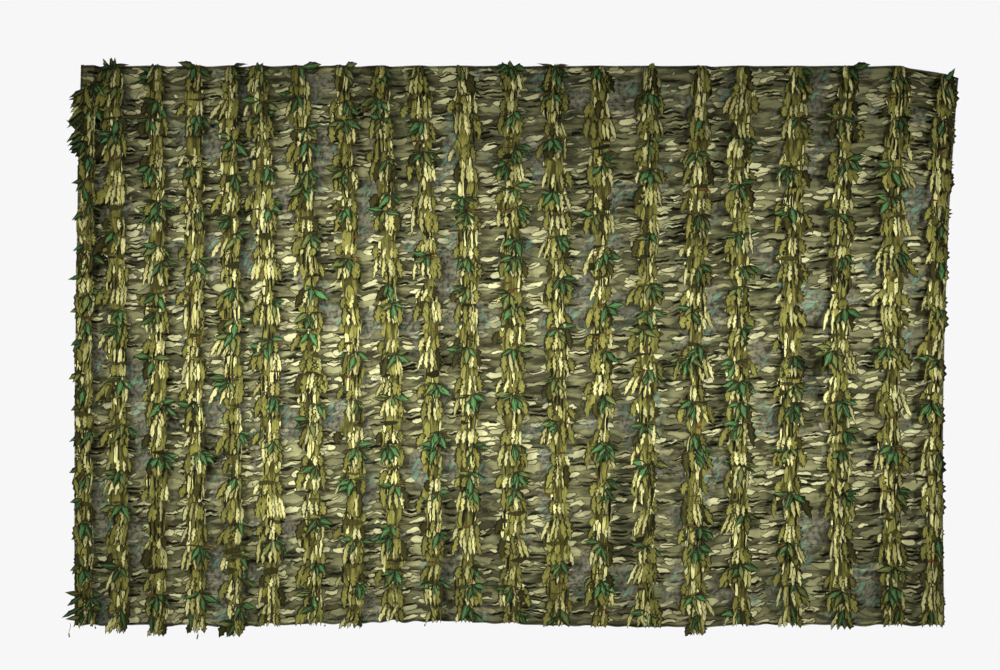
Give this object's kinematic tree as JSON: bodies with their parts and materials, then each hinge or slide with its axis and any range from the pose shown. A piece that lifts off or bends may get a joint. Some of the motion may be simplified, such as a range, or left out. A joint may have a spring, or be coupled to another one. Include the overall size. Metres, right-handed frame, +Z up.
{
  "type": "leafy camouflage blind cover",
  "caption": "Rectangular panel of printed mesh hanging by its top edge in uneven upright folds, with rows of die-cut leaf strips sewn down its face, used to hide what is behind it.",
  "frame": {"origin": "middle of the top edge, by which the cover hangs", "axes": "+X to the right along the top edge, +Z up, leafy face towards -Y"},
  "size_m": [2.1792, 0.0675, 1.4153],
  "materials": {
    "printed_mesh": "matt printed mesh cloth",
    "leaf_cloth": "matt printed woven cloth, die-cut"
  },
  "bodies": {
    "root": {"mesh_panel": "printed_mesh", "leaf_strip_01": "leaf_cloth", "leaf_strip_02": "leaf_cloth", "leaf_strip_03": "leaf_cloth", "leaf_strip_04": "leaf_cloth", "leaf_strip_05": "leaf_cloth", "leaf_strip_06": "leaf_cloth", "leaf_strip_07": "leaf_cloth", "leaf_strip_08": "leaf_cloth", "leaf_strip_09": "leaf_cloth", "leaf_strip_10": "leaf_cloth", "leaf_strip_11": "leaf_cloth", "leaf_strip_12": "leaf_cloth", "leaf_strip_13": "leaf_cloth", "leaf_strip_14": "leaf_cloth", "leaf_strip_15": "leaf_cloth", "leaf_strip_16": "leaf_cloth", "leaf_strip_17": "leaf_cloth", "leaf_strip_18": "leaf_cloth", "leaf_strip_19": "leaf_cloth", "leaf_strip_20": "leaf_cloth", "leaf_strip_21": "leaf_cloth"}
  },
  "joints": []
}
